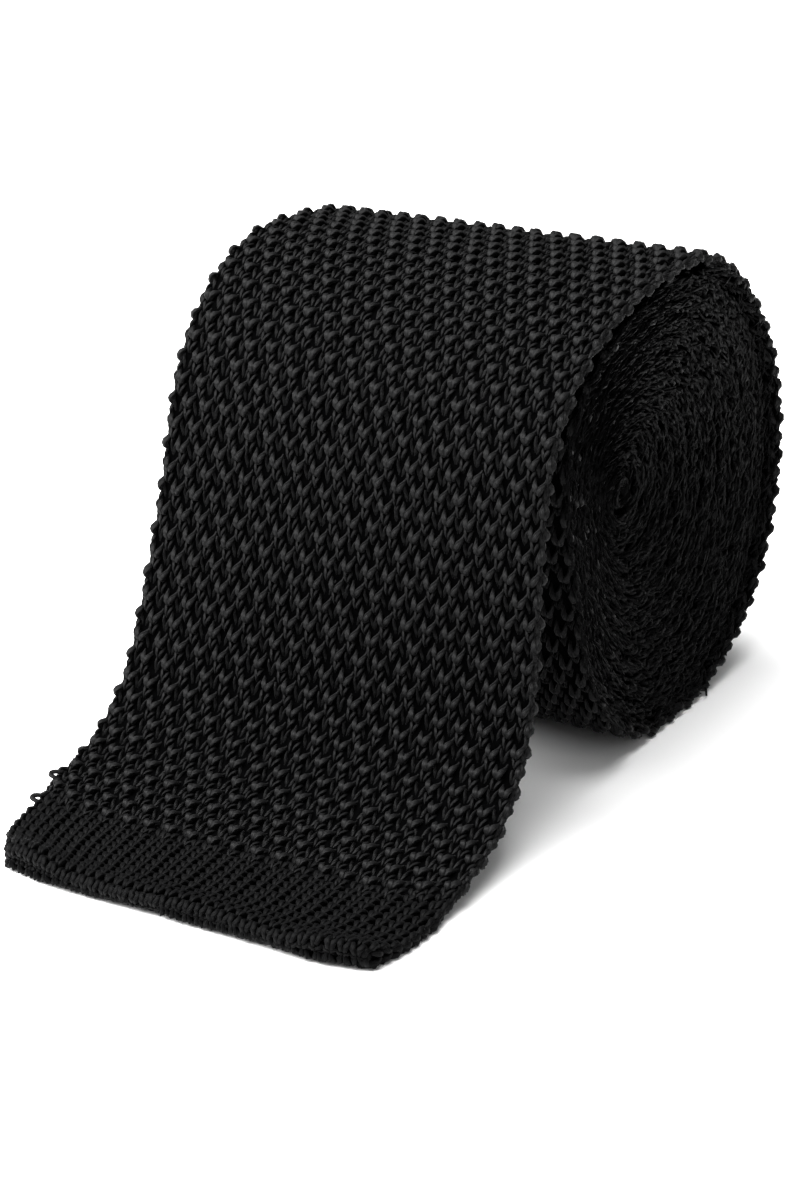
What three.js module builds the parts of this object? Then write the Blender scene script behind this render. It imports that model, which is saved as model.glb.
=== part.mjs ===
// A black knit tie, rolled up from its narrow end. The wide blade leaves the roll over its top,
// drops down the front and flares out flat on the table, so that its hem lies before the roll.
// The tie is one long flat tube: two layers of knit that meet in a fold along each edge.
// Millimetres, +Z up, X across the tie, the hem towards -Y.
import * as THREE from "three";

// Driving dimensions.
const bladeWidth = 60;
const tailWidth = 37.5;
const bodyLayer = 0.95;
const hemLayer = 0.8;
const layerGap = 0.25;
const windingGap = 0.65;
const pieceGap = 0.3;
const rollRadius = 35.1;
const coreRadius = 3.0;
const floorPress = 0.7;
const footReach = 42;
const flareSkew = 5;
const bladeDrift = 0.35;
const bladeHemLength = 13.7;
const tailHemLength = 10;
const blackSilk = { color: 0x131313, roughness: 0.82, metalness: 0 };

// Resolution of the rolled and the drawn-out stretch.
const stepsPerTurn = 24;
const fineTurns = 1.5;
const bladeStep = 3.4;

// The share of the drawn-out blade, from its tip, whose left side flares further than its right.
const flareSpan = 0.62;
// How much of the blade's length, from the roll's top down, it takes to drift to the left.
const driftSpan = 0.4;

// The roll's outline: its outer radius at each angle, as a share of the roll radius. Angles are in
// degrees from +Y towards +Z, and run down the back, under the roll and up its front.
const rollOutline = [
  { angle: 90, share: 1.0 },
  { angle: 50, share: 0.965 },
  { angle: 20, share: 1.01 },
  { angle: -8, share: 1.06 },
  { angle: -36, share: 1.1 },
  { angle: -62, share: 1.063 },
  { angle: -90, share: 1.034 },
  { angle: -120, share: 1.005 },
  { angle: -150, share: 0.97 },
  { angle: -168, share: 0.963 },
  { angle: -180, share: 0.99 },
  { angle: -196, share: 1.11 },
  { angle: -209, share: 1.195 },
  { angle: -226, share: 1.14 },
  { angle: -247, share: 1.035 },
  { angle: -270, share: 1.0 },
];

// The drawn-out blade, from the hem's tip up to the roll's top: how far forward of the roll's middle
// it is, in shares of the roll radius and of the foot reach, and how high its underside is, as a
// share of the roll's height.
const bladeProfile = [
  { radii: 1.145, foot: 1.0, height: 0 },
  { radii: 1.145, foot: 0.86, height: 0 },
  { radii: 1.145, foot: 0.7, height: 0 },
  { radii: 1.145, foot: 0.52, height: 0.026 },
  { radii: 1.145, foot: 0.306, height: 0.073 },
  { radii: 1.145, foot: 0.14, height: 0.179 },
  { radii: 1.145, foot: 0.066, height: 0.329 },
  { radii: 1.145, foot: 0.028, height: 0.504 },
  { radii: 1.103, foot: 0, height: 0.698 },
  { radii: 0.974, foot: 0, height: 0.806 },
  { radii: 0.761, foot: 0, height: 0.888 },
  { radii: 0.407, foot: 0, height: 0.951 },
];

// The tie's width along its length: 0 is the tail's width and 1 the blade's.
const widthProfile = [
  { length: 0, share: 0.99 },
  { length: 0.018, share: 1.07 },
  { length: 0.065, share: 0.93 },
  { length: 0.095, share: 1.01 },
  { length: 0.13, share: 1.0 },
  { length: 0.165, share: 0.9 },
  { length: 0.355, share: 0.83 },
  { length: 0.64, share: 0.57 },
  { length: 0.78, share: 0.4 },
  { length: 0.89, share: 0.23 },
  { length: 0.96, share: 0.05 },
  { length: 1, share: 0 },
];

const thickness = 2 * bodyLayer + layerGap;
const windingPitch = thickness + windingGap;
const turns = (rollRadius - thickness / 2 - coreRadius) / windingPitch;
const edgeRound = thickness / 2;

// A smooth curve through the rows of a table, read at one value of its first column.
function readTable(rows, keyColumn, valueColumn, at) {
  const rising = rows[rows.length - 1][keyColumn] > rows[0][keyColumn];
  const past = (row) => (rising ? row[keyColumn] >= at : row[keyColumn] <= at);
  const next = Math.min(Math.max(rows.findIndex(past), 1), rows.length - 1);
  const slope = (from, to) =>
    (rows[to][valueColumn] - rows[from][valueColumn]) / (rows[to][keyColumn] - rows[from][keyColumn]);
  const last = rows.length - 1;
  const span = rows[next][keyColumn] - rows[next - 1][keyColumn];
  const share = (at - rows[next - 1][keyColumn]) / span;
  const startSlope = slope(Math.max(next - 2, 0), next) * span;
  const endSlope = slope(next - 1, Math.min(next + 1, last)) * span;
  const square = share * share;
  const cube = square * share;
  return (
    rows[next - 1][valueColumn] * (2 * cube - 3 * square + 1) +
    startSlope * (cube - 2 * square + share) +
    rows[next][valueColumn] * (3 * square - 2 * cube) +
    endSlope * (cube - square)
  );
}

// The radius of the tube's middle after so many turns of the roll. Every winding keeps the outline,
// less and less so towards the round core.
function freeRadius(turn) {
  const angle = 90 - 360 * (turn % 1);
  const outlineShare = readTable(rollOutline, "angle", "share", angle);
  const roundness = turn / turns;
  const outline = 1 + (outlineShare - 1) * (1 - roundness);
  return rollRadius * outline - thickness / 2 - windingPitch * turn;
}

// The same radius with the windings pressed flat where the roll rests.
function pressedRadius(turn) {
  const angle = THREE.MathUtils.degToRad(90 - 360 * turn);
  const downward = -Math.sin(angle);
  if (downward < 0.5) {
    return freeRadius(turn);
  }
  const press = floorPress * (1 - turn / turns);
  const lowest = freeRadius(Math.floor(turn) + 0.5) - press;
  return Math.min(freeRadius(turn), lowest / downward);
}

const hubHeight = pressedRadius(0.5) + thickness / 2;
const rollHeight = hubHeight + rollRadius;

// A point of the tube's middle on the roll, as y and z.
function rollPoint(turn) {
  const angle = THREE.MathUtils.degToRad(90 - 360 * turn);
  const radius = pressedRadius(turn);
  return new THREE.Vector2(radius * Math.cos(angle), hubHeight + radius * Math.sin(angle));
}

// The tube's middle on the drawn-out blade, at even steps from the hem's tip to the roll's top.
function bladePoints() {
  const anchors = bladeProfile.map((row) => {
    const y = -(row.radii * rollRadius + row.foot * footReach);
    const z = row.height * rollHeight + thickness / 2;
    return new THREE.Vector3(0, y, z);
  });
  const top = rollPoint(0);
  anchors.push(new THREE.Vector3(0, top.x, top.y));
  const curve = new THREE.CatmullRomCurve3(anchors, false, "centripetal");
  const steps = Math.round(curve.getLength() / bladeStep);
  const onTable = (height) => Math.max(height, thickness / 2);
  return curve.getSpacedPoints(steps).map((point) => new THREE.Vector2(point.y, onTable(point.z)));
}

// The whole route of the tube's middle, from the blade's tip to the tail's end in the core.
function tieRoute() {
  const points = bladePoints();
  const bladePointCount = points.length;
  const fineStep = 0.5 / stepsPerTurn;
  let turn = fineStep;
  while (turn < turns) {
    points.push(rollPoint(turn));
    turn += turn < fineTurns ? fineStep : 1 / stepsPerTurn;
  }
  const lengths = [0];
  for (let index = 1; index < points.length; index += 1) {
    lengths.push(lengths[index - 1] + points[index].distanceTo(points[index - 1]));
  }
  const bladeLength = lengths[bladePointCount - 1];
  return { points, lengths, bladeLength, total: lengths[lengths.length - 1] };
}

const route = tieRoute();

// The point, outward direction and width of the tie at a distance from its tip.
function stationAt(distance) {
  const found = route.lengths.findIndex((length) => length >= distance);
  const next = Math.min(Math.max(found < 0 ? route.lengths.length : found, 1), route.lengths.length - 1);
  const span = route.lengths[next] - route.lengths[next - 1];
  const share = (distance - route.lengths[next - 1]) / span;
  const point = route.points[next - 1].clone().lerp(route.points[next], share);
  const before = route.points[share < 0.001 ? Math.max(next - 2, 0) : next - 1];
  const after = route.points[share > 0.999 ? Math.min(next + 1, route.points.length - 1) : next];
  const along = after.clone().sub(before).normalize();
  const outward = new THREE.Vector2(-along.y, along.x);
  const widthShare = readTable(widthProfile, "length", "share", distance / route.total);
  const width = tailWidth + (bladeWidth - tailWidth) * widthShare;
  const fromTop = 1 - Math.min(distance / route.bladeLength, 1);
  const drift = bladeDrift * THREE.MathUtils.smoothstep(fromTop, 0, driftSpan);
  const flare = Math.sin(Math.PI * Math.min(distance / (flareSpan * route.bladeLength), 1)) ** 2;
  return { point, outward, width, drift, skew: flareSkew * flare };
}

// The distances of the stations between two distances from the tip, both ends included.
function stationDistances(from, to) {
  const between = route.lengths.filter((length) => length > from + pieceGap && length < to - pieceGap);
  return [from, ...between, to];
}

// One ring of the tube's section: its corners across the width, and out from the tube's middle.
function ringCorners(halfWidth, halfHeight, round) {
  const corners = [
    [-halfWidth + round, halfHeight],
    [halfWidth - round, halfHeight],
    [halfWidth - round, -halfHeight],
    [-halfWidth + round, -halfHeight],
  ];
  if (round > 0) {
    corners.splice(2, 0, [halfWidth, 0]);
    corners.push([-halfWidth, 0]);
  }
  return corners;
}

// A stretch of the flat tube, with the slit between its layers open at both ends.
function flatTube(distances, layer, sink) {
  const halfHeight = layer + layerGap / 2;
  const positions = [];
  const indices = [];
  const rings = distances.map((distance) => {
    const station = stationAt(distance);
    const outer = ringCorners(station.width / 2, halfHeight, edgeRound);
    const inner = ringCorners(station.width / 2 - edgeRound, layerGap / 2, 0);
    return { station, corners: [...outer, ...inner], outerCount: outer.length };
  });
  rings.forEach(({ station, corners }) => {
    corners.forEach(([across, out]) => {
      const lean = station.skew * (0.5 - across / station.width);
      positions.push(across - station.drift);
      positions.push(station.point.x + station.outward.x * (out - sink) - lean);
      positions.push(station.point.y + station.outward.y * (out - sink));
    });
  });
  const ringSize = rings[0].corners.length;
  const outerCount = rings[0].outerCount;
  const innerCount = ringSize - outerCount;
  const quad = (a, b, c, d) => indices.push(a, b, c, a, c, d);
  for (let ring = 0; ring < rings.length - 1; ring += 1) {
    const here = ring * ringSize;
    const ahead = here + ringSize;
    for (let corner = 0; corner < outerCount; corner += 1) {
      const beside = (corner + 1) % outerCount;
      quad(here + corner, here + beside, ahead + beside, ahead + corner);
    }
    for (let corner = 0; corner < innerCount; corner += 1) {
      const beside = (corner + 1) % innerCount;
      const near = here + outerCount;
      const far = ahead + outerCount;
      quad(near + beside, near + corner, far + corner, far + beside);
    }
  }
  // Each end is a flat frame of quads and triangles round the mouth of the slit.
  const frame = [
    [0, 1, 7, 6],
    [2, 8, 7, 1],
    [3, 9, 8, 2],
    [3, 4, 9, 9],
    [4, 5, 6, 9],
    [5, 0, 6, 6],
  ];
  const start = 0;
  const end = (rings.length - 1) * ringSize;
  const triangle = (a, b, c) => {
    if (a !== b && b !== c && a !== c) {
      indices.push(a, b, c);
    }
  };
  frame.forEach(([a, b, c, d]) => {
    triangle(start + c, start + b, start + a);
    triangle(start + d, start + c, start + a);
    triangle(end + a, end + b, end + c);
    triangle(end + a, end + c, end + d);
  });
  const geometry = new THREE.BufferGeometry();
  geometry.setAttribute("position", new THREE.Float32BufferAttribute(positions, 3));
  geometry.setIndex(indices);
  geometry.computeVertexNormals();
  return geometry;
}

function knitPiece(name, geometry) {
  const mesh = new THREE.Mesh(geometry, new THREE.MeshStandardMaterial(blackSilk));
  mesh.name = name;
  return mesh;
}

// The plain-knit band at the wide end, thinner than the body and flat on the table.
function bladeHem() {
  const distances = stationDistances(0, bladeHemLength - pieceGap / 2);
  return knitPiece("blade_hem", flatTube(distances, hemLayer, bodyLayer - hemLayer));
}

// The long tuck-knit tube between the two hems.
function knitBody() {
  const from = bladeHemLength + pieceGap / 2;
  const to = route.total - tailHemLength - pieceGap / 2;
  return knitPiece("knit_body", flatTube(stationDistances(from, to), bodyLayer, 0));
}

// The plain-knit band at the narrow end, in the core of the roll.
function tailHem() {
  const from = route.total - tailHemLength + pieceGap / 2;
  return knitPiece("tail_hem", flatTube(stationDistances(from, route.total), hemLayer, 0));
}

// The origin is under the middle of the whole tie, on the table.
function knitTie() {
  const tie = new THREE.Group();
  tie.add(bladeHem(), knitBody(), tailHem());
  const middle = new THREE.Box3().setFromObject(tie).getCenter(new THREE.Vector3());
  tie.position.set(-middle.x, -middle.y, 0);
  return tie;
}

export default knitTie();
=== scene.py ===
"""A black knit tie, rolled up, with its wide end drawn out over the roll and laid flat in front.

Every yarn is a mesh tube. A stitch is laid out flat first, by its wale (its column, counted round the
flat tube of knit), its distance along the tie from the blade's tip and its height above the cloth's
base, and then carried onto the route that the rolled tie takes. Lengths are in millimetres until a
mesh is written.
"""
import math

import bpy
import numpy as np
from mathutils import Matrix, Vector

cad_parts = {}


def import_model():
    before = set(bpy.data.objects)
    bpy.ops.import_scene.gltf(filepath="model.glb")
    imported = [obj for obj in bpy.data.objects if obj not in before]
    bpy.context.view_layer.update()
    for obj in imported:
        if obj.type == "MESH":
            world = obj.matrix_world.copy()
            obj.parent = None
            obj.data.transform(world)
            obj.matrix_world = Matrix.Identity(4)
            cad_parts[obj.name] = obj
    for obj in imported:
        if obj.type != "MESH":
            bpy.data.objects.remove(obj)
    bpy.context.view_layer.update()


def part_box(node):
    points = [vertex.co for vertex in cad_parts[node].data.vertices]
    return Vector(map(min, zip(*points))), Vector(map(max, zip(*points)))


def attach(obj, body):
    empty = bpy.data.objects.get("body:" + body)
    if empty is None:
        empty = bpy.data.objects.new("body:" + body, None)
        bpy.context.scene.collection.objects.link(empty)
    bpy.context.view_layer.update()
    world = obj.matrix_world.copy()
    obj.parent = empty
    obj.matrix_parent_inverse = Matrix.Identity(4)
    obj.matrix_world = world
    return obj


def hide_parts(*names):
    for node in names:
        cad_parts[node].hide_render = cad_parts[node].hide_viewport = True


MM = 0.001

# Sizes of the tie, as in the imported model: its widths and its body's thickness, the pitch and radius of
# the roll, its hollow core, how far its weight presses it down, and the blade's reach in front of it.
BLADE_WIDTH = 60.0
TAIL_WIDTH = 37.5
BODY_THICKNESS = 2.15
WINDING_PITCH = 2.8
ROLL_RADIUS = 35.1
CORE_RADIUS = 3.0
FLOOR_PRESS = 0.7
FOOT_REACH = 42.0
HEM_LENGTH = 13.7
TAIL_HEM_LENGTH = 10.0
# The drawn-out blade's skew and its drift to one side, each with the share of its length that it takes.
FLARE_SKEW = 5.0
FLARE_SPAN = 0.62
BLADE_DRIFT = 0.35
DRIFT_SPAN = 0.4

# The roll's outline: angle in degrees from +Y towards +Z, share of the roll's radius.
ROLL_OUTLINE = [
    (90, 1.0), (50, 0.965), (20, 1.01), (-8, 1.06), (-36, 1.1), (-62, 1.063), (-90, 1.034),
    (-120, 1.005), (-150, 0.97), (-168, 0.963), (-180, 0.99), (-196, 1.11), (-209, 1.195),
    (-226, 1.14), (-247, 1.035), (-270, 1.0),
]
# The drawn-out blade: shares of the roll's radius and of the foot's reach, share of the roll's height.
BLADE_PROFILE = [
    (1.145, 1.0, 0), (1.145, 0.86, 0), (1.145, 0.7, 0), (1.145, 0.52, 0.026),
    (1.145, 0.306, 0.073), (1.145, 0.14, 0.179), (1.145, 0.066, 0.329), (1.145, 0.028, 0.504),
    (1.103, 0, 0.698), (0.974, 0, 0.806), (0.761, 0, 0.888), (0.407, 0, 0.951),
]
# The width along the tie: share of its length, share of the way from the tail's width to the blade's.
WIDTH_PROFILE = [
    (0, 0.99), (0.018, 1.07), (0.065, 0.93), (0.095, 1.01), (0.13, 1.0), (0.165, 0.9),
    (0.355, 0.83), (0.64, 0.57), (0.78, 0.4), (0.89, 0.23), (0.96, 0.05), (1, 0),
]

# The knit: wales counted round the tube, 0 in the middle of the front and 39 in that of the back. On
# each side, so many lie flat on the front before so many turn over the folded edge.
WALES = 78
FRONT_WALES = 18.5
FOLD_WALES = 2.0
FOLD_MIDDLE = FRONT_WALES + FOLD_WALES / 2
WALE_PITCH = BLADE_WIDTH / 2 / FOLD_MIDDLE
# One row of tuck stitches along the tie, and how far past the band the first one lies.
ROW = 2.935
FIRST_ROW = 2.3
# The wales round the plain-knit band, and one course of its stitches.
HEM_WALES = 70
COURSE = 1.4
# The yarns' base over the tube's middle, how far inside the tie's edge the tube starts to fold, the share
# by which stitches lie lower on the fold, and the layer over the floor that squeezes low yarns.
BASE = 0.25
FOLD_REACH = 1.2
FOLD_SINK = 0.3
FLOOR_SOFTNESS = 0.5
# A stitch's chance scatter: across in wales, along, its lean, its lift, and its yarn's size as a share.
SCATTER_ACROSS = 0.035
SCATTER_ALONG = 0.07
SCATTER_LEAN = 0.05
SCATTER_LIFT = 0.03
SCATTER_SIZE = 0.05

# Places along the tie, from the blade's tip: the cut across the blade's front, the roll's top, the cut
# behind the roll, its foot, the end of its outermost winding, and where the blade's back meets the roll.
BLADE_SPLIT = 72.0
ROLL_TOP = 131.0
ROLL_SPLIT = 221.0
ROLL_FOOT = 248.0
FACE_END = 315.0
BACK_END = 104.0

# A stitch's yarns for one side of a wale: across, along, height and yarn radius.
TUCK_LEG = [
    (0.05, -0.24, -0.05, 0.30), (0.15, 0.02, 0.34, 0.43), (0.30, 0.33, 0.55, 0.47),
    (0.46, 0.69, 0.50, 0.42), (0.60, 1.04, 0.22, 0.32), (0.71, 1.42, -0.10, 0.24),
    (0.80, 2.10, -0.32, 0.17),
]
PLAIN_TUCK_LEG = [
    (0.10, -0.28, 0.02, 0.30), (0.27, 0.22, 0.48, 0.45), (0.49, 0.80, 0.50, 0.41),
    (0.66, 1.38, 0.12, 0.28), (0.80, 2.15, -0.28, 0.18),
]
FOLD_LEG = [
    (0.10, -0.28, 0.05, 0.22), (0.27, 0.22, 0.44, 0.32), (0.49, 0.80, 0.48, 0.31),
    (0.66, 1.38, 0.14, 0.24), (0.80, 2.15, -0.20, 0.18),
]
SMALL_LEG = [
    (0.06, -1.95, -0.08, 0.18), (0.13, -1.60, 0.12, 0.23), (0.27, -1.14, 0.22, 0.25),
    (0.43, -0.68, 0.12, 0.22), (0.56, -0.22, -0.10, 0.18),
]
HELD_YARN = [
    (0.70, 3.95, -0.10, 0.22), (0.52, 3.35, 0.10, 0.27), (0.30, 2.70, 0.04, 0.27),
    (0.16, 1.90, -0.20, 0.22),
]
PLAIN_LEG = [
    (0.08, -0.42, -0.24, 0.22), (0.21, 0.04, 0.22, 0.36), (0.39, 0.50, 0.42, 0.43),
    (0.56, 0.98, 0.18, 0.36), (0.68, 1.46, -0.26, 0.22),
]
RIM_LEG = [
    (-0.06, -0.34, -0.06, 0.22), (0.28, -0.56, 0.18, 0.32), (0.62, -0.42, 0.14, 0.30),
    (0.90, -0.14, -0.08, 0.20),
]

# The plain-knit band: half its thickness at the yarns' base, in the band and at its swollen mouth, how
# far up the band the swelling goes, the radius at which the lip curls in, the least that the lip drops,
# and the yarns' height over their base.
HEM_HALF = 0.30
MOUTH_HALF = 1.15
MOUTH_DEPTH = 3.6
MOUTH_CURL = 0.75
LEAST_DROP = 0.05
YARN_REACH = 0.64
# Half the slit between the mouth's two lips, and how much wider it opens near the corners.
MOUTH_SLIT = 0.04
CORNER_SLIT = 0.7
# How far the mouth stands forward, and its left side beyond that.
MOUTH_FORWARD = 1.4
LEFT_FORWARD = 1.1
# How far each corner is drawn in across the tie, and over what length that fades.
LEFT_NARROWING = 4.2
RIGHT_NARROWING = 1.3
NARROWING_FADE = 4.5
# How far each corner is drawn back, how many wales it takes in, and the length over which that and the
# mouth's forward stand fade.
LEFT_RECESS = 1.2
RIGHT_RECESS = 3.0
CORNER_WALES = 8.0
CORNER_FADE = 7.0
# How much fuller the mouth swells near each corner, as a share.
LEFT_SWELL = 0.6
RIGHT_SWELL = 0.3
# The slow waves of the mouth: in its swelling, as a share, and along the tie, with radians to a wale.
SWELL_WAVE = 0.12
SWELL_PACE = 0.31
MOUTH_WAVE = 0.2
MOUTH_PACE = 0.27
# How far the band runs on under the tuck stitches, and how much lower it lies there.
HEM_OVERLAP = 3.6
OVERLAP_SINK = 0.32
# The band is deeper towards both edges, and the rows of tuck stitches above it bow with it.
BOW = 5.0
BOW_WALES = 9.0
BOW_FADE = 22.0
# The left side stands fuller and wider over the roll's shoulder, and spreads at the foot: how far out
# and across, the place along the tie and the length that it fades over.
SHOULDER_OUT = 2.4
SHOULDER_SPREAD = 1.9
SHOULDER_PLACE = 104.0
SHOULDER_LENGTH = 19.0
SPREAD = 2.3
SPREAD_PLACE = 19.0
SPREAD_LENGTH = 15.0
# The roll's outermost winding stands a little wider on the right, and its core is pushed to the right.
ROLL_SPREAD = 1.1
ROLL_PLACE = 200.0
ROLL_LENGTH = 75.0
CORE_SHIFT = 2.2
# The last of the blade stands a little higher on the roll's top.
TOP_OUT = 0.7
TOP_LENGTH = 20.0
# The roll's ends: how far they lie inside the tie's edge, and the depth of their pits and of the grooves
# between windings.
END_INSET = 0.18
END_PITS = 0.34
END_GROOVE = 0.5
# Loose strands on the roll's ends and in its core: least and most length and radius, and how many.
STRAND_LENGTHS = (1.6, 4.2)
STRAND_RADII = (0.13, 0.25)
CORE_STRANDS = 160
CORE_STRAND_RADII = (0.15, 0.27)
HAIRS = 70
HAIR_LENGTHS = (3, 8)
HAIR_RADIUS = 0.045
# The small loops at the blade's left edge: their places from the tip, their half length and yarn radius.
LOOP_PLACES = (15.6, 21.5)
LOOP_SIZE = 0.8
LOOP_RADIUS = 0.34
# The ground lies just inside the stitches. Inside the roll it is thicker, to fill each winding, and stays
# clear of the roll's ends, and both come in over a short length.
GROUND_INSET = 0.05
GROUND_FILL = 1.1
GROUND_CLEAR = 1.3
GROUND_FADE = 6.0
# The wales at the ground's corners, once round the tube.
GROUND_WALES = [-18.5, -9, 0, 9, 18.5, 19.1, 19.9, 20.5, 30, 39, -30, -20.5, -19.9, -19.1]

# The camera: its place from the roll's core, its lens, its turn and how far it looks down.
CAMERA_PLACE = (150.5, -284.1, 142.7)
CAMERA_LENS = 69.4
CAMERA_TURN = 30.39
CAMERA_DOWN = 21.90

# Yarns: dark and light colour, plies and specular level.
YARNS = {
    "body_yarn": ((0.0012, 0.0012, 0.0013), (0.005, 0.005, 0.0052), 3, 0.075),
    # Painted shade: a darker, duller copy of the body's yarn, for the small legs and held yarns that lie
    # deep between the tuck stitches, and for the stitches on the roll's ends.
    "shaded_yarn": ((0.0012, 0.0012, 0.0013), (0.0042, 0.0042, 0.0044), 2, 0.06),
    # Painted shade: a darker and duller copy of the body's yarn, for the loose strands, hairs and core
    # strands on the roll's ends.
    "loose_shaded_yarn": ((0.001, 0.001, 0.0011), (0.0044, 0.0044, 0.0046), 2, 0.02),
    # Painted shade: a darker copy of the body's yarn, so that the plain-knit band, lying flat under the
    # lamps, comes out no brighter than the upright front.
    "hem_shaded_yarn": ((0.0006, 0.0006, 0.0007), (0.0022, 0.0022, 0.0023), 2, 0.032),
}
# How many plies pass in a millimetre of yarn, their height beside that of the filaments, how finely the
# filaments split a ply, and the depth of both in metres.
PLY_TWIST = 0.45
PLY_HEIGHT = 0.3
FILAMENTS = 3.0
YARN_RELIEF = 0.00022
# The ground's darkest and lightest, both painted shade darker than the yarn for the depth between the
# stitches, and the depth of its mottling in metres.
GROUND_DARK = (0.0003, 0.0003, 0.0003)
GROUND_LIGHT = (0.0011, 0.0011, 0.0012)
GROUND_RELIEF = 0.0004
FLOOR_WHITE = (0.96, 0.96, 0.96)
FLOOR_HALF = 3.0
# The light of the room on the tie, and of the white that the camera sees behind it.
ROOM_LIGHT = 0.26
BACKDROP_LIGHT = 1.1
# Soft lamps in metres and watts: place, size and power.
LAMPS = {
    "key": ((-0.64, -0.42, 0.66), 0.7, 31),
    "overhead": ((-0.15, -0.12, 0.9), 0.9, 23),
    "side": ((0.7, -0.5, 0.5), 0.6, 1),
}
LAMP_TARGET = Vector((0, 0, 0.03))


def read_table(rows, at):
    """A smooth curve through a table's rows, read at the values at."""
    keys = np.array([row[0] for row in rows], float)
    values = np.array([row[1] for row in rows], float)
    if keys[-1] < keys[0]:
        keys = -keys
        at = -np.asarray(at, float)
    at = np.asarray(at, float)
    last = len(keys) - 1
    after = np.clip(np.searchsorted(keys, at), 1, last)
    before = after - 1
    span = keys[after] - keys[before]
    share = (at - keys[before]) / span
    lead = np.maximum(before - 1, 0)
    trail = np.minimum(after + 1, last)
    start = (values[after] - values[lead]) / (keys[after] - keys[lead]) * span
    end = (values[trail] - values[before]) / (keys[trail] - keys[before]) * span
    square = share ** 2
    cube = share ** 3
    return (
        values[before] * (2 * cube - 3 * square + 1)
        + start * (cube - 2 * square + share)
        + values[after] * (3 * square - 2 * cube)
        + end * (cube - square)
    )


TURNS = (ROLL_RADIUS - BODY_THICKNESS / 2 - CORE_RADIUS) / WINDING_PITCH


def free_radius(turn):
    """The radius of the tube's middle on the roll before its weight presses it."""
    share = read_table(ROLL_OUTLINE, 90 - 360 * np.mod(turn, 1))
    outline = 1 + (share - 1) * (1 - turn / TURNS)
    return ROLL_RADIUS * outline - BODY_THICKNESS / 2 - WINDING_PITCH * turn


def pressed_radius(turn):
    """The same radius, with the windings pressed flat where the roll rests."""
    down = -np.sin(np.radians(90 - 360 * turn))
    bottom = free_radius(np.floor(turn) + 0.5) - FLOOR_PRESS * (1 - turn / TURNS)
    free = free_radius(turn)
    return np.where(down < 0.5, free, np.minimum(free, bottom / np.maximum(down, 0.5)))


def spline(anchors, steps):
    """A centripetal Catmull-Rom curve through the anchors."""
    points = np.array([2 * anchors[0] - anchors[1], *anchors, 2 * anchors[-1] - anchors[-2]])
    knots = np.linalg.norm(np.diff(points, axis=0), axis=1) ** 0.5
    share = np.linspace(0, 1, steps, endpoint=False)[:, None]
    stretches = []
    for index in range(1, len(points) - 2):
        one, two, three, four = points[index - 1:index + 3]
        lead, span, trail = knots[index - 1:index + 2]
        start = (two - one) / lead - (three - one) / (lead + span) + (three - two) / span
        end = (three - two) / span - (four - two) / (span + trail) + (four - three) / trail
        start, end = start * span, end * span
        stretches.append(
            two * (2 * share ** 3 - 3 * share ** 2 + 1)
            + start * (share ** 3 - 2 * share ** 2 + share)
            + three * (3 * share ** 2 - 2 * share ** 3)
            + end * (share ** 3 - share ** 2)
        )
    return np.concatenate([*stretches, anchors[-1:]])


def smoothed(values, reach):
    """Values averaged over a few neighbours on each side, with the ends held."""
    kernel = np.hanning(2 * reach + 3)[1:-1]
    padded = np.pad(values, reach, mode="edge")
    return np.convolve(padded, kernel / kernel.sum(), mode="valid")


class Route:
    """The middle of the flat tube, from the blade's tip to the tail's end, and the tie's width on it."""

    STEP = 0.5

    def __init__(self, place):
        self.hub = float(pressed_radius(np.array(0.5))) + BODY_THICKNESS / 2
        height = self.hub + ROLL_RADIUS
        turn = np.arange(0, TURNS, 1 / 360)
        angle = np.radians(90 - 360 * turn)
        radius = pressed_radius(turn)
        roll = np.stack([radius * np.cos(angle), self.hub + radius * np.sin(angle)], 1)
        anchors = [
            (-(radii * ROLL_RADIUS + foot * FOOT_REACH), share * height + BODY_THICKNESS / 2)
            for radii, foot, share in BLADE_PROFILE
        ]
        blade = spline(np.array([*anchors, roll[0]]), 40)
        blade[:, 1] = np.maximum(blade[:, 1], BODY_THICKNESS / 2)
        points = np.concatenate([blade, roll[1:]])
        lengths = np.concatenate([[0], np.cumsum(np.linalg.norm(np.diff(points, axis=0), axis=1))])
        self.blade_length = lengths[len(blade) - 1]
        self.total = lengths[-1]
        self.along = np.arange(0, self.total, self.STEP)
        self.y = smoothed(np.interp(self.along, lengths, points[:, 0]), 3)
        self.z = smoothed(np.interp(self.along, lengths, points[:, 1]), 3)
        run_y = np.gradient(self.y)
        run_z = np.gradient(self.z)
        size = np.hypot(run_y, run_z)
        self.out_y = smoothed(-run_z / size, 4)
        self.out_z = smoothed(run_y / size, 4)
        share = read_table(WIDTH_PROFILE, self.along / self.total)
        self.width = TAIL_WIDTH + (BLADE_WIDTH - TAIL_WIDTH) * share
        from_top = 1 - np.minimum(self.along / self.blade_length, 1)
        ease = np.clip(from_top / DRIFT_SPAN, 0, 1)
        self.drift = BLADE_DRIFT * ease ** 2 * (3 - 2 * ease)
        flare = np.minimum(self.along / (FLARE_SPAN * self.blade_length), 1)
        self.skew = FLARE_SKEW * np.sin(math.pi * flare) ** 2
        self.place = place

    def read(self, name, along):
        """One of the route's values at distances from the tip, carried on straight past the tip."""
        inside = np.interp(along, self.along, getattr(self, name))
        if name == "y":
            return inside + np.minimum(along, 0)
        return inside


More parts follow.
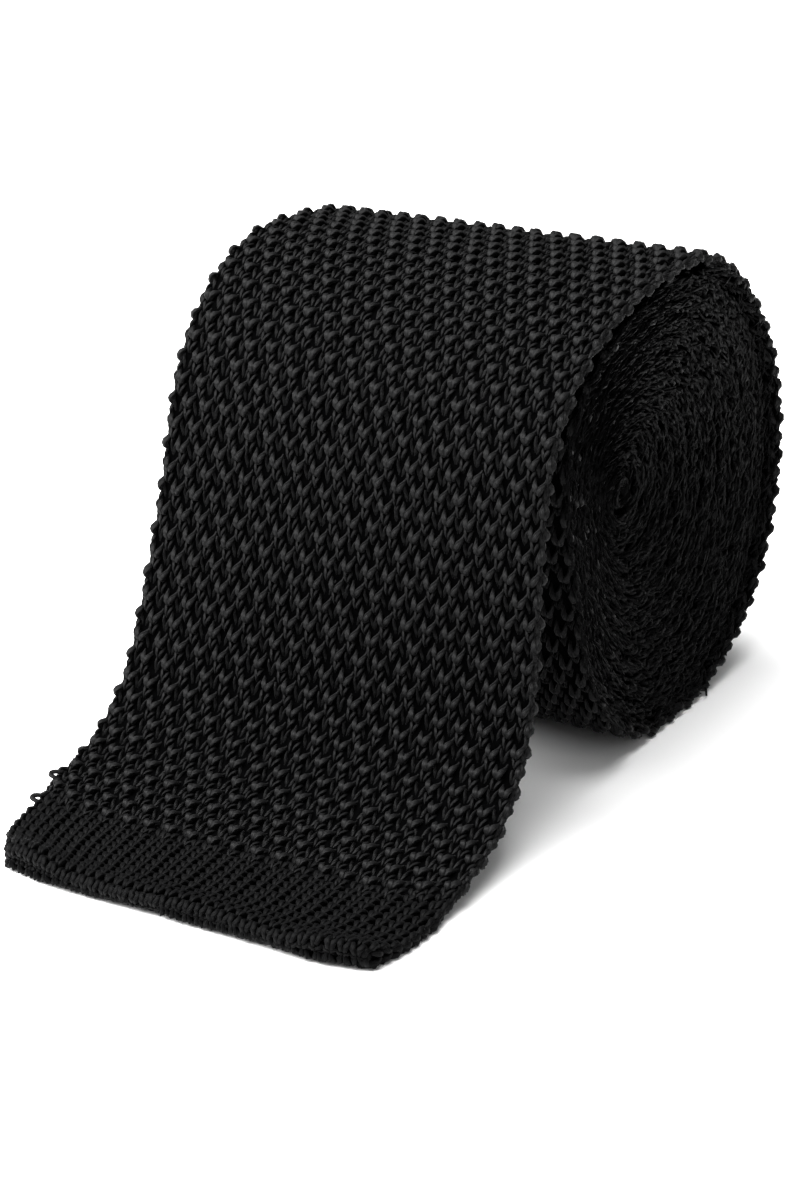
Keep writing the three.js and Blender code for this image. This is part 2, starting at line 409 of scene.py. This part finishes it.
def to_world(route, across, along, out, normal):
    """World points and directions of places given across, along and out from the route."""
    width = route.read("width", along)
    out_y = route.read("out_y", along)
    out_z = route.read("out_z", along)
    from_left = np.clip(0.5 - across / width, 0, 1)
    lean = route.read("skew", along) * (0.5 - across / width)
    # How much a place shares in the shoulder, the foot, the roll's right side, its core and its top.
    shoulder = from_left ** 2 * np.exp(-((along - SHOULDER_PLACE) / SHOULDER_LENGTH) ** 2)
    foot = from_left * np.exp(-((along - SPREAD_PLACE) / SPREAD_LENGTH) ** 2)
    back = (1 - from_left) * np.exp(-((along - ROLL_PLACE) / ROLL_LENGTH) ** 2)
    wound = np.clip((along - ROLL_TOP) / (route.total - ROLL_TOP), 0, 1)
    top = (1 - from_left ** 2) * np.exp(-((along - ROLL_TOP) / TOP_LENGTH) ** 2)
    out = out + SHOULDER_OUT * shoulder + TOP_OUT * top
    across = across - SHOULDER_SPREAD * shoulder - SPREAD * foot + ROLL_SPREAD * back
    across = across + CORE_SHIFT * wound
    x = across - route.read("drift", along) + route.place[0]
    y = route.read("y", along) + out_y * out - lean + route.place[1]
    z = route.read("z", along) + out_z * out
    z = np.where(z < FLOOR_SOFTNESS, FLOOR_SOFTNESS * np.exp(z / FLOOR_SOFTNESS - 1), z)
    beside, ahead, above = normal
    directions = np.stack(
        [beside, out_z * ahead + out_y * above, -out_y * ahead + out_z * above], -1,
    )
    return np.stack([x, y, z], -1), directions


def round_tube(route, wale, along, reach):
    """How far a wale lies across, and its turn from the front over the fold to the back."""
    side = np.sign(wale)
    count = np.abs(wale)
    flat = route.read("width", along) / 2 - FOLD_REACH
    pitch = flat / FRONT_WALES
    turn = np.clip((count - FRONT_WALES) / FOLD_WALES, 0, 1) * math.pi
    beyond = np.maximum(count - FRONT_WALES - FOLD_WALES, 0)
    across = side * ((np.minimum(count, FRONT_WALES) - beyond) * pitch + reach * np.sin(turn))
    return across, turn, side


def bowed(wale, along):
    """Distances along the tie, with the rows bowed near the band's top."""
    rise = BOW * np.clip(1 - np.abs(np.abs(wale) - FOLD_MIDDLE) / BOW_WALES, 0, 1) ** 2
    fade = np.where(
        along < HEM_LENGTH,
        np.clip(along / HEM_LENGTH, 0, 1) ** 2,
        np.exp((HEM_LENGTH - along) / BOW_FADE),
    )
    return along + rise * fade


def on_body(route, wale, along, height):
    """Places on the tuck-stitch tube."""
    along = bowed(wale, along)
    fold = np.clip(1 - np.abs(np.abs(wale) - FRONT_WALES - FOLD_WALES / 2), 0, 1)
    level = BASE + height * (1 - FOLD_SINK * fold)
    across, turn, side = round_tube(route, wale, along, level)
    normal = (side * np.sin(turn), np.zeros(along.shape), np.cos(turn))
    return to_world(route, across, along, level * np.cos(turn), normal)


def on_hem(route, wale, along, height):
    """Places on the plain-knit band, whose mouth swells and curls in at both layers."""
    along = bowed(wale, along)
    edge = np.clip(1 - np.abs(np.abs(wale) - FOLD_MIDDLE) / CORNER_WALES, 0, 1)
    swell = np.exp(-(np.maximum(along, 0) / MOUTH_DEPTH) ** 2)
    fuller = np.where(wale < 0, LEFT_SWELL, RIGHT_SWELL) * edge * (1 - edge) * 4
    swell = swell * (1 + SWELL_WAVE * np.sin(SWELL_PACE * wale + 1) + fuller)
    height = height - OVERLAP_SINK * np.clip(along - HEM_LENGTH, 0, 1)
    half = HEM_HALF + (MOUTH_HALF - HEM_HALF) * swell
    slit = MOUTH_SLIT + CORNER_SLIT * 4 * edge * (1 - edge)
    drop = np.maximum(half - slit, LEAST_DROP)
    curl = np.minimum(MOUTH_CURL, drop)
    curl_start = curl * math.pi / 2 + drop - curl
    angle = np.clip((curl_start - along) / curl, 0, math.pi / 2)
    straight = np.maximum(curl_start - curl * math.pi / 2 - along, 0)
    reach = half - curl * (1 - np.cos(angle)) - straight + height * np.cos(angle)
    shift = curl - curl_start
    run = np.maximum(along, curl_start) + shift - (curl + height) * np.sin(angle)
    fade = np.exp(-np.maximum(along, 0) / CORNER_FADE)
    recess = np.where(wale < 0, LEFT_RECESS, RIGHT_RECESS) * edge ** 2
    on_left = np.clip(1 - np.abs(wale + FOLD_MIDDLE) / FOLD_MIDDLE, 0, 1)
    forward = MOUTH_FORWARD + LEFT_FORWARD * on_left
    run = run + (recess + MOUTH_WAVE * np.sin(MOUTH_PACE * wale) - forward) * fade
    across, turn, side = round_tube(route, wale, run, reach)
    across = across - side * (half - HEM_HALF) * np.sin(turn)
    narrowing = np.where(wale < 0, LEFT_NARROWING, RIGHT_NARROWING)
    narrowing = narrowing * np.exp(-(np.maximum(along, 0) / NARROWING_FADE) ** 2)
    across = across * (1 - 2 * narrowing / BLADE_WIDTH)
    centre = half + YARN_REACH - BODY_THICKNESS / 2
    facing = np.cos(angle)
    normal = (side * np.sin(turn) * facing, -np.sin(angle), np.cos(turn) * facing)
    return to_world(route, across, run, centre + reach * np.cos(turn), normal)


def tubes(points, normals, radius, sides):
    """Closed tubes along many lines at once: vertices, quads, end caps and the quads' UVs."""
    lines, rings = points.shape[:2]
    ahead = np.gradient(points, axis=1)
    ahead /= np.linalg.norm(ahead, axis=-1, keepdims=True) + 1e-12
    beside = np.cross(ahead, normals)
    beside /= np.linalg.norm(beside, axis=-1, keepdims=True) + 1e-12
    above = np.cross(beside, ahead)
    turn = np.arange(sides) * 2 * math.pi / sides
    ring = (
        np.cos(turn)[:, None] * beside[:, :, None, :] + np.sin(turn)[:, None] * above[:, :, None, :]
    )
    vertices = points[:, :, None, :] + radius[:, :, None, None] * ring
    index = np.arange(lines * rings * sides).reshape(lines, rings, sides)
    beyond = np.roll(index, -1, axis=2)
    quads = np.stack([index[:, :-1], beyond[:, :-1], beyond[:, 1:], index[:, 1:]], -1).reshape(-1, 4)
    caps = np.concatenate([index[:, 0, ::-1], index[:, -1]])
    steps = np.linalg.norm(np.diff(points, axis=1), axis=-1)
    run = np.concatenate([np.zeros((lines, 1)), np.cumsum(steps, axis=1)], axis=1)
    around = np.arange(sides) / sides
    low = np.broadcast_to(run[:, :-1, None], (lines, rings - 1, sides))
    high = np.broadcast_to(run[:, 1:, None], (lines, rings - 1, sides))
    left = np.broadcast_to(around, low.shape)
    right = left + 1 / sides
    uvs = np.stack(
        [np.stack([left, low], -1), np.stack([right, low], -1),
         np.stack([right, high], -1), np.stack([left, high], -1)],
        axis=-2,
    )
    cap_run = np.concatenate([run[:, :1], run[:, -1:]]).repeat(sides, axis=1)
    cap_uvs = np.stack([np.full(cap_run.shape, 0.5), cap_run], -1)
    return vertices.reshape(-1, 3), quads, caps, uvs.reshape(-1, 2), cap_uvs.reshape(-1, 2)


def mesh_object(name, parts):
    """One mesh object of all the tubes in the parts, each a material and its groups of tubes."""
    vertices, loops, counts, uvs, kinds = [], [], [], [], []
    base = 0
    for kind, (_, groups) in enumerate(parts):
        for points, quads, caps, quad_uvs, cap_uvs in groups:
            vertices.append(points)
            loops += [(quads + base).ravel(), (caps + base).ravel()]
            counts += [np.full(len(quads), 4), np.full(len(caps), caps.shape[1])]
            kinds.append(np.full(len(quads) + len(caps), kind))
            uvs += [quad_uvs, cap_uvs]
            base += len(points)
    vertices = np.concatenate(vertices) * MM
    loops = np.concatenate(loops)
    counts = np.concatenate(counts)
    mesh = bpy.data.meshes.new(name)
    mesh.vertices.add(len(vertices))
    mesh.vertices.foreach_set("co", vertices.astype(np.float32).ravel())
    mesh.loops.add(len(loops))
    mesh.loops.foreach_set("vertex_index", loops.astype(np.int32))
    mesh.polygons.add(len(counts))
    starts = np.concatenate([[0], np.cumsum(counts)[:-1]])
    mesh.polygons.foreach_set("loop_start", starts.astype(np.int32))
    mesh.update(calc_edges=True)
    layer = mesh.uv_layers.new(name="yarn")
    layer.data.foreach_set("uv", np.concatenate(uvs).astype(np.float32).ravel())
    for material, _ in parts:
        mesh.materials.append(material)
    mesh.polygons.foreach_set("material_index", np.concatenate(kinds).astype(np.int32))
    mesh.validate()
    mesh.shade_smooth()
    piece = bpy.data.objects.new(name, mesh)
    bpy.context.scene.collection.objects.link(piece)
    return piece


def wobble(wale, along):
    """The knit's slow unevenness: how far a stitch strays across, in wales, and along, in millimetres."""
    across = 0.07 * np.sin(along / 17 + 1.7 * wale) + 0.05 * np.sin(along / 41 + 0.4 * wale)
    onward = 0.22 * np.sin(0.19 * wale + along / 31) + 0.12 * np.sin(0.55 * wale - along / 13)
    return across, onward


def yarns(lay, route, wales, alongs, shape, sides, seed, looseness=1.0):
    """Both yarns of one kind, left and right of the wale, for the stitches at wales and alongs."""
    chance = np.random.default_rng(seed)
    across, along, height, radius = (np.array(column) for column in zip(*shape))
    strayed, onward = wobble(wales, alongs)
    count = len(wales)
    made = []
    for side in (-1, 1):
        shift = chance.normal(0, SCATTER_ACROSS * looseness, count) + strayed
        slip = chance.normal(0, SCATTER_ALONG * looseness, count) + onward
        lean = chance.normal(0, SCATTER_LEAN * looseness, count)
        lift = chance.normal(0, SCATTER_LIFT * looseness, count)
        size = 1 + chance.normal(0, SCATTER_SIZE * looseness, count)
        wale = (
            wales[:, None]
            + side * across[None] / WALE_PITCH
            + shift[:, None]
            + lean[:, None] * along[None] / WALE_PITCH
        )
        run = alongs[:, None] + along[None] + slip[:, None]
        level = height[None] + lift[:, None]
        points, normals = lay(route, wale, run, level)
        made.append(tubes(points, normals, radius[None] * size[:, None], sides))
    return made


def centred(wales):
    """Wales counted on past the middle of the back, as the negative wales of the left side."""
    return np.where(wales > WALES / 2, wales - WALES, wales)


def tuck_stitches(low_wale, high_wale, start, end):
    """The wales and distances of the tuck stitches in a patch: every other row in each wale."""
    rows = np.arange(math.ceil((start - HEM_LENGTH) / ROW), math.ceil((end - HEM_LENGTH) / ROW))
    wales = np.arange(low_wale, high_wale + 1)
    wale, row = np.meshgrid(wales, rows)
    keep = (wale + row) % 2 == 0
    return centred(wale[keep].astype(float)), HEM_LENGTH + FIRST_ROW + row[keep] * ROW


def tuck_patch(name, route, patch, yarn, shaded_yarn, seed, fine):
    """A mesh of tuck stitches over a patch (low wale, high wale, start, end), fine or plainer."""
    wales, alongs = tuck_stitches(*patch)
    # The small legs and held yarns lie deep between the raised legs and take the darker yarn, painted
    # shade.
    if fine:
        raised = yarns(on_body, route, wales, alongs, TUCK_LEG, 6, seed)
        small = yarns(on_body, route, wales, alongs, SMALL_LEG, 5, seed + 1)
        held = yarns(on_body, route, wales, alongs, HELD_YARN, 4, seed + 2)
        return mesh_object(name, [(yarn, raised), (shaded_yarn, small + held)])
    raised = yarns(on_body, route, wales, alongs, PLAIN_TUCK_LEG, 5, seed)
    small = yarns(on_body, route, wales, alongs, SMALL_LEG[::2], 4, seed + 1)
    return mesh_object(name, [(yarn, raised), (shaded_yarn, small)])


def end_face(route, along, out):
    """How far across the roll's end lies at places between the windings, outward from the route."""
    radius = np.hypot(route.read("y", along), route.read("z", along) - route.hub)
    onward = along - out / WINDING_PITCH * 2 * math.pi * radius
    return route.read("width", np.clip(onward, 0, route.total)) / 2


def strands(route, side, start, end, outermost, each, seed):
    """Short loose strands over the roll's end, running much as the tie runs, so many to a millimetre.

    They lie from half a winding inside the route to so many windings, the outermost, outside it.
    """
    chance = np.random.default_rng(seed)
    count = int((end - start) * each)
    middle = start + (end - start) * (np.arange(count) + chance.random(count)) / count
    place = chance.uniform(-0.55, outermost, count)
    length = chance.uniform(*STRAND_LENGTHS, count)
    slant = chance.normal(0, 0.7, count)
    rise = chance.uniform(-0.3, 0.16, count)
    radius = chance.uniform(*STRAND_RADII, count)
    share = np.linspace(-0.5, 0.5, 4)[None]
    out = place[:, None] * WINDING_PITCH + slant[:, None] * share
    along = middle[:, None] + length[:, None] * share
    pits = END_PITS * np.sin(2 * math.pi * (along / ROW + out / WINDING_PITCH)) ** 2
    groove = END_GROOVE * np.clip(np.abs(2 * out / WINDING_PITCH), 0, 1) ** 3
    depth = END_INSET + pits + groove - rise[:, None] + 1.2 * share ** 2
    across = side * (end_face(route, along, out) - depth)
    ones = np.ones(out.shape)
    points, normals = to_world(route, across, along, out, (side * ones, 0 * ones, 0 * ones))
    return tubes(points, normals, radius[:, None] * np.array([0.7, 1, 1, 0.7]), 3)


def hairs(route, side, start, end, seed):
    """Fine stray filaments that stand off the roll's end and cross its windings."""
    chance = np.random.default_rng(seed)
    middle = chance.uniform(start, end, HAIRS)
    place = chance.uniform(-0.5, 0.3, HAIRS)
    length = chance.uniform(*HAIR_LENGTHS, HAIRS)
    slant = chance.normal(0, 2.2, HAIRS)
    arch = chance.uniform(0.2, 0.8, HAIRS)
    share = np.linspace(-0.5, 0.5, 7)[None]
    out = place[:, None] * WINDING_PITCH + slant[:, None] * share + arch[:, None] * (4 * share ** 2 - 1)
    along = middle[:, None] + length[:, None] * share
    lift = arch[:, None] * (1 - 4 * share ** 2)
    across = side * (end_face(route, along, out) - END_INSET + lift)
    ones = np.ones(out.shape)
    points, normals = to_world(route, across, along, out, (side * ones, 0 * ones, 0 * ones))
    return tubes(points, normals, HAIR_RADIUS * ones, 3)


def edge_loops(route, side):
    """Two small loops that stand off the blade's folded edge beside the band."""
    share = np.linspace(0, math.pi, 9)[None]
    along = np.array(LOOP_PLACES)[:, None] + LOOP_SIZE * np.cos(share)
    across = side * (route.read("width", along) / 2 - 1.4 + LOOP_SIZE * 2 * np.sin(share))
    ones = np.ones(along.shape)
    points, normals = to_world(route, across, along, 0.5 * ones, (0 * ones, 0 * ones, ones))
    return tubes(points, normals, LOOP_RADIUS * ones, 5)


def core_strands(route, side, seed):
    """Strands of the tail's end that close the middle of the roll, winding about its axis."""
    chance = np.random.default_rng(seed)
    hole = CORE_RADIUS - BODY_THICKNESS / 2 + 0.4
    radius = hole * np.sqrt(chance.uniform(0.02, 1, CORE_STRANDS))[:, None]
    start = chance.uniform(0, 2 * math.pi, CORE_STRANDS)[:, None]
    sweep = chance.uniform(0.8, 1.8, CORE_STRANDS)[:, None]
    sink = chance.uniform(0.3, 1.4, CORE_STRANDS)[:, None] + 0.7 * (1 - radius / hole)
    share = np.linspace(0, 1, 4)[None]
    angle = start + sweep * share
    ones = np.ones(angle.shape)
    x = side * (TAIL_WIDTH / 2 - sink) * ones + CORE_SHIFT + route.place[0]
    y = radius * np.cos(angle) + route.place[1]
    z = radius * np.sin(angle) + route.hub
    normals = np.stack([side * ones, 0 * ones, 0 * ones], -1)
    thickness = chance.uniform(*CORE_STRAND_RADII, CORE_STRANDS)[:, None] * ones
    return tubes(np.stack([x, y, z], -1), normals, thickness, 3)


def edge_patch(name, route, side, yarn, loose_shaded_yarn, seed):
    """The folded edge of every winding on one side, where the loosened yarns show one by one."""
    tail = route.total - TAIL_HEM_LENGTH
    wales, alongs = tuck_stitches(19, 20, FACE_END, tail)
    legs = yarns(on_body, route, side * wales, alongs, FOLD_LEG, 4, seed, 2)
    small = yarns(on_body, route, side * wales, alongs, SMALL_LEG[::2], 4, seed + 2, 2)
    # The loose strands take the darker, duller yarn: painted shade on the roll's ends.
    loose = [
        strands(route, side, ROLL_TOP, FACE_END, -0.15, 2.4, seed + 6),
        strands(route, side, ROLL_FOOT, FACE_END, 0.3, 4, seed + 8),
        strands(route, side, FACE_END, route.total, 0.55, 4.4, seed + 3),
        core_strands(route, side, seed + 5),
        hairs(route, side, FACE_END, route.total, seed + 7),
    ]
    wales, alongs = tuck_stitches(21, 21, BACK_END, FACE_END)
    legs += yarns(on_body, route, side * wales, alongs, PLAIN_TUCK_LEG, 5, seed + 4, 1)
    if side < 0:
        legs.append(edge_loops(route, side))
    return mesh_object(name, [(yarn, legs + small), (loose_shaded_yarn, loose)])


def on_ground(route, wale, along, height):
    """Places on the body's ground, which fills the windings inside the roll, clear of its ends."""
    deep = np.clip((along - FACE_END) / GROUND_FADE, 0, 1)
    points, normals = on_body(route, wale, along, height + GROUND_FILL * deep)
    points[..., 0] -= np.sign(wale) * GROUND_CLEAR * deep
    return points, normals


def backing(name, lay, route, start, end, material):
    """The ground that shows between the yarns: the flat tube itself, a little inside the stitches, its
    near black painted shade.
    """
    alongs = np.linspace(start, end, max(int((end - start) / 2), 4))
    along, wale = np.meshgrid(alongs, GROUND_WALES, indexing="ij")
    points, _ = lay(route, wale, along, np.full(wale.shape, -GROUND_INSET))
    count = len(GROUND_WALES)
    index = np.arange(points.shape[0] * count).reshape(-1, count)
    beside = np.roll(index, -1, axis=1)
    quads = np.stack([index[:-1], beside[:-1], beside[1:], index[1:]], -1).reshape(-1, 4)
    caps = np.stack([index[0, ::-1], index[-1]])
    uvs = np.zeros((len(quads) * 4, 2))
    cap_uvs = np.zeros((caps.size, 2))
    return mesh_object(name, [(material, [(points.reshape(-1, 3), quads, caps, uvs, cap_uvs)])])


def hem_stitches(route, low, high, material, name, seed, sides):
    """Plain stitches of the band, from one of its wales to another, with the rim round its mouth."""
    wales = centred(np.arange(low, high + 1) * WALES / HEM_WALES)
    courses = np.arange(-0.1, HEM_LENGTH + HEM_OVERLAP, COURSE)
    wale, along = np.meshgrid(wales, courses)
    groups = yarns(on_hem, route, wale.ravel(), along.ravel(), PLAIN_LEG, sides, seed, 0.9)
    groups += yarns(on_hem, route, wales, np.zeros(len(wales)), RIM_LEG, sides, seed + 1, 0.8)
    return mesh_object(name, [(material, groups)])


def tail_stitches(route, material, seed):
    """Plain stitches on the folded edges of the band at the tail's end, in the roll's core."""
    wales = np.array([-21, -20, -19, -18, 18, 19, 20, 21])
    wale, along = np.meshgrid(wales, np.arange(route.total - TAIL_HEM_LENGTH, route.total - 1, COURSE))
    groups = yarns(on_body, route, wale.ravel().astype(float), along.ravel(), PLAIN_LEG, 4, seed, 0.7)
    return mesh_object("hem_tail_knit", [(material, groups)])


def new_material(name, colour, roughness, specular):
    """A principled material: its shader node, and the nodes and links to add to."""
    material = bpy.data.materials.new(name)
    material.use_nodes = True
    nodes = material.node_tree.nodes
    shader = nodes["Principled BSDF"]
    shader.inputs["Base Color"].default_value = (*colour, 1)
    shader.inputs["Roughness"].default_value = roughness
    shader.inputs["Specular IOR Level"].default_value = specular
    return material, shader, nodes, material.node_tree.links


def math_node(nodes, links, kind, *values):
    """A math node fed by sockets or numbers; its result."""
    node = nodes.new("ShaderNodeMath")
    node.operation = kind
    for socket, value in zip(node.inputs, values):
        if isinstance(value, (int, float)):
            socket.default_value = value
        else:
            links.new(value, socket)
    return node.outputs[0]


def noise_node(nodes, links, vector, scale, detail):
    """A noise texture's value over the vector."""
    node = nodes.new("ShaderNodeTexNoise")
    node.inputs["Scale"].default_value = scale
    node.inputs["Detail"].default_value = detail
    links.new(vector, node.inputs["Vector"])
    return node.outputs["Fac"]


def yarn_material(name, dark, light, plies, specular):
    """Silk yarn: plies wind round it, filaments roughen it, and its depth of black varies."""
    material, shader, nodes, links = new_material(name, dark, 0.5, specular)
    shader.inputs["Sheen Weight"].default_value = 0.01
    shader.inputs["Sheen Roughness"].default_value = 0.4
    uv = nodes.new("ShaderNodeUVMap")
    uv.uv_map = "yarn"
    split = nodes.new("ShaderNodeSeparateXYZ")
    links.new(uv.outputs["UV"], split.inputs[0])
    around = math_node(nodes, links, "MULTIPLY", split.outputs["X"], plies)
    onward = math_node(nodes, links, "MULTIPLY", split.outputs["Y"], PLY_TWIST)
    phase = math_node(nodes, links, "ADD", around, onward)
    turned = math_node(nodes, links, "MULTIPLY", phase, 2 * math.pi)
    ply = math_node(nodes, links, "SINE", turned)
    place = nodes.new("ShaderNodeTexCoord").outputs["Object"]
    streak = nodes.new("ShaderNodeCombineXYZ")
    links.new(math_node(nodes, links, "MULTIPLY", phase, FILAMENTS), streak.inputs["X"])
    links.new(split.outputs["Y"], streak.inputs["Y"])
    filament = noise_node(nodes, links, streak.outputs[0], 1.3, 2)
    height = math_node(nodes, links, "MULTIPLY_ADD", ply, PLY_HEIGHT, filament)
    bump = nodes.new("ShaderNodeBump")
    bump.inputs["Strength"].default_value = 1.0
    bump.inputs["Distance"].default_value = YARN_RELIEF
    links.new(height, bump.inputs["Height"])
    links.new(bump.outputs["Normal"], shader.inputs["Normal"])
    patchy = noise_node(nodes, links, place, 700, 3)
    uneven = math_node(nodes, links, "SUBTRACT", patchy, 0.45)
    shade = math_node(nodes, links, "MULTIPLY_ADD", filament, 0.9, uneven)
    mix = nodes.new("ShaderNodeMix")
    mix.data_type = "RGBA"
    links.new(shade, mix.inputs["Factor"])
    mix.inputs["A"].default_value = (*dark, 1)
    mix.inputs["B"].default_value = (*light, 1)
    links.new(mix.outputs["Result"], shader.inputs["Base Color"])
    links.new(math_node(nodes, links, "MULTIPLY_ADD", filament, 0.3, 0.35), shader.inputs["Roughness"])
    return material


def ground_material():
    """The inside of the knit: near black as painted shade, mottled and matt."""
    material, shader, nodes, links = new_material("knit_ground", GROUND_DARK, 0.9, 0.0)
    place = nodes.new("ShaderNodeTexCoord").outputs["Object"]
    mottle = noise_node(nodes, links, place, 900, 3)
    mix = nodes.new("ShaderNodeMix")
    mix.data_type = "RGBA"
    links.new(mottle, mix.inputs["Factor"])
    mix.inputs["A"].default_value = (*GROUND_DARK, 1)
    mix.inputs["B"].default_value = (*GROUND_LIGHT, 1)
    links.new(mix.outputs["Result"], shader.inputs["Base Color"])
    bump = nodes.new("ShaderNodeBump")
    bump.inputs["Distance"].default_value = GROUND_RELIEF
    links.new(mottle, bump.inputs["Height"])
    links.new(bump.outputs["Normal"], shader.inputs["Normal"])
    return material


def add_camera(place):
    """The scene's camera, placed from the roll's core."""
    data = bpy.data.cameras.new("camera")
    data.sensor_width = 36
    data.lens = CAMERA_LENS
    camera = bpy.data.objects.new("camera", data)
    bpy.context.scene.collection.objects.link(camera)
    camera.location = np.array(CAMERA_PLACE) * MM + np.array([place[0], place[1], 0]) * MM
    camera.rotation_euler = (math.radians(90 - CAMERA_DOWN), 0, math.radians(CAMERA_TURN))
    bpy.context.scene.camera = camera


def add_lamps():
    """Soft square lamps that look at the tie."""
    for name, (place, size, power) in LAMPS.items():
        data = bpy.data.lights.new(name, "AREA")
        data.energy = power
        data.size = size
        light = bpy.data.objects.new(name, data)
        bpy.context.scene.collection.objects.link(light)
        light.location = place
        light.rotation_euler = (LAMP_TARGET - Vector(place)).to_track_quat("-Z", "Y").to_euler()


def add_stage():
    """The white floor that the tie stands on."""
    mesh = bpy.data.meshes.new("floor")
    corners = [(x * FLOOR_HALF, y * FLOOR_HALF, 0) for x, y in ((-1, -1), (1, -1), (1, 1), (-1, 1))]
    mesh.from_pydata(corners, [], [(0, 1, 2, 3)])
    floor = bpy.data.objects.new("floor", mesh)
    bpy.context.scene.collection.objects.link(floor)
    material, *_ = new_material("floor_white", FLOOR_WHITE, 0.9, 0.2)
    mesh.materials.append(material)


def add_world():
    """A dim room for the tie to reflect, seen by the camera as plain white."""
    world = bpy.data.worlds.new("world")
    bpy.context.scene.world = world
    world.use_nodes = True
    nodes = world.node_tree.nodes
    links = world.node_tree.links
    room = nodes["Background"]
    room.inputs["Color"].default_value = (1, 1, 1, 1)
    room.inputs["Strength"].default_value = ROOM_LIGHT
    white = nodes.new("ShaderNodeBackground")
    white.inputs["Color"].default_value = (1, 1, 1, 1)
    white.inputs["Strength"].default_value = BACKDROP_LIGHT
    rays = nodes.new("ShaderNodeLightPath")
    mix = nodes.new("ShaderNodeMixShader")
    links.new(rays.outputs["Is Camera Ray"], mix.inputs[0])
    links.new(room.outputs[0], mix.inputs[1])
    links.new(white.outputs[0], mix.inputs[2])
    links.new(mix.outputs[0], nodes["World Output"].inputs["Surface"])


def main():
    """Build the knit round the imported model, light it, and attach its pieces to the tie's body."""
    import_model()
    hem_low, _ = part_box("blade_hem")
    tail_low, tail_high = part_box("tail_hem")
    tip = BLADE_PROFILE[0][0] * ROLL_RADIUS + FOOT_REACH
    place = ((tail_low.x + tail_high.x) / 2 / MM, hem_low.y / MM + tip)
    route = Route(place)
    add_camera(place)
    add_stage()
    add_world()
    add_lamps()
    bpy.context.scene.view_settings.view_transform = "Standard"

    body, deep, loose, hem = (yarn_material(name, *look) for name, look in YARNS.items())
    # The ground's near black is painted shade between the stitches.
    ground = ground_material()

    pieces = [
        tuck_patch("blade_front_lower", route, (-20, 20, HEM_LENGTH, BLADE_SPLIT), body, deep, 100, True),
        tuck_patch("blade_front_upper", route, (-20, 20, BLADE_SPLIT, ROLL_TOP), body, deep, 200, True),
        tuck_patch("roll_back_knit", route, (-20, 20, ROLL_TOP, ROLL_SPLIT), body, deep, 300, False),
        tuck_patch("roll_under_knit", route, (-20, 20, ROLL_SPLIT, FACE_END), body, deep, 400, False),
        tuck_patch("blade_back_knit", route, (21, 57, HEM_LENGTH, BACK_END), body, deep, 500, False),
        # The roll's ends take the darker yarns, painted shade on the ends.
        edge_patch("roll_end_right", route, 1, deep, loose, 600),
        edge_patch("roll_end_left", route, -1, deep, loose, 700),
        # The band takes the darker yarn, painted shade.
        hem_stitches(route, -18, 18, hem, "hem_front_knit", 800, 6),
        hem_stitches(route, 19, 51, hem, "hem_back_knit", 820, 4),
        tail_stitches(route, hem, 840),
    ]
    for piece in pieces:
        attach(piece, "root")
    tail = route.total - TAIL_HEM_LENGTH
    grounds = [
        ("knit_ground_body", "knit_body", on_ground, HEM_LENGTH, tail, "body_knit"),
        ("knit_ground_hem", "blade_hem", on_hem, 1.2, HEM_LENGTH, "hem_knit"),
        ("knit_ground_tail", "tail_hem", on_ground, tail, route.total, "hem_knit"),
    ]
    for name, node, lay, start, end, slot in grounds:
        piece = backing(name, lay, route, start, end, ground)
        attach(piece, "root")
        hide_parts(node)


main()
